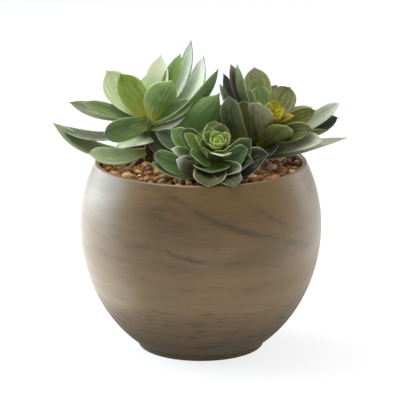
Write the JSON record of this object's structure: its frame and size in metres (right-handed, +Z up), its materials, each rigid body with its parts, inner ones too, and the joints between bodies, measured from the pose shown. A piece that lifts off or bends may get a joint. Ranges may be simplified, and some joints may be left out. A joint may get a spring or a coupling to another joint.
{
  "type": "potted echeveria",
  "caption": "Round ceramic planter on a low foot, filled with potting mix and topped with pebbles, holding fleshy leaf rosettes on short stems; stands on its flat foot.",
  "frame": {"origin": "centre of the foot's flat underside, on the surface that the pot stands on", "axes": "+Z up along the pot's axis; +X to the right and +Y away from a viewer who faces the lowest, frontmost rosette"},
  "size_m": [0.2185, 0.1796, 0.23],
  "materials": {
    "pot": "matt taupe with fine wavy horizontal grain",
    "potting_mix": "rough dark crumb",
    "gravel": "glossy tumbled pebbles, orange and brown with a few pale ones",
    "leaves_left": "fleshy leaf with a thin waxy bloom",
    "leaves_front": "fleshy leaf, satin",
    "leaves_right": "fleshy dark leaf with a waxy bloom",
    "heart_front": "young light green leaf, satin",
    "heart_right": "young lime yellow leaf, satin"
  },
  "bodies": {
    "root": {"pot": "pot", "potting_mix": "potting_mix", "gravel": "gravel", "echeveria_left": "leaves_left", "echeveria_front": "leaves_front", "echeveria_right": "leaves_right", "heart_front": "heart_front", "heart_right": "heart_right"}
  },
  "joints": []
}
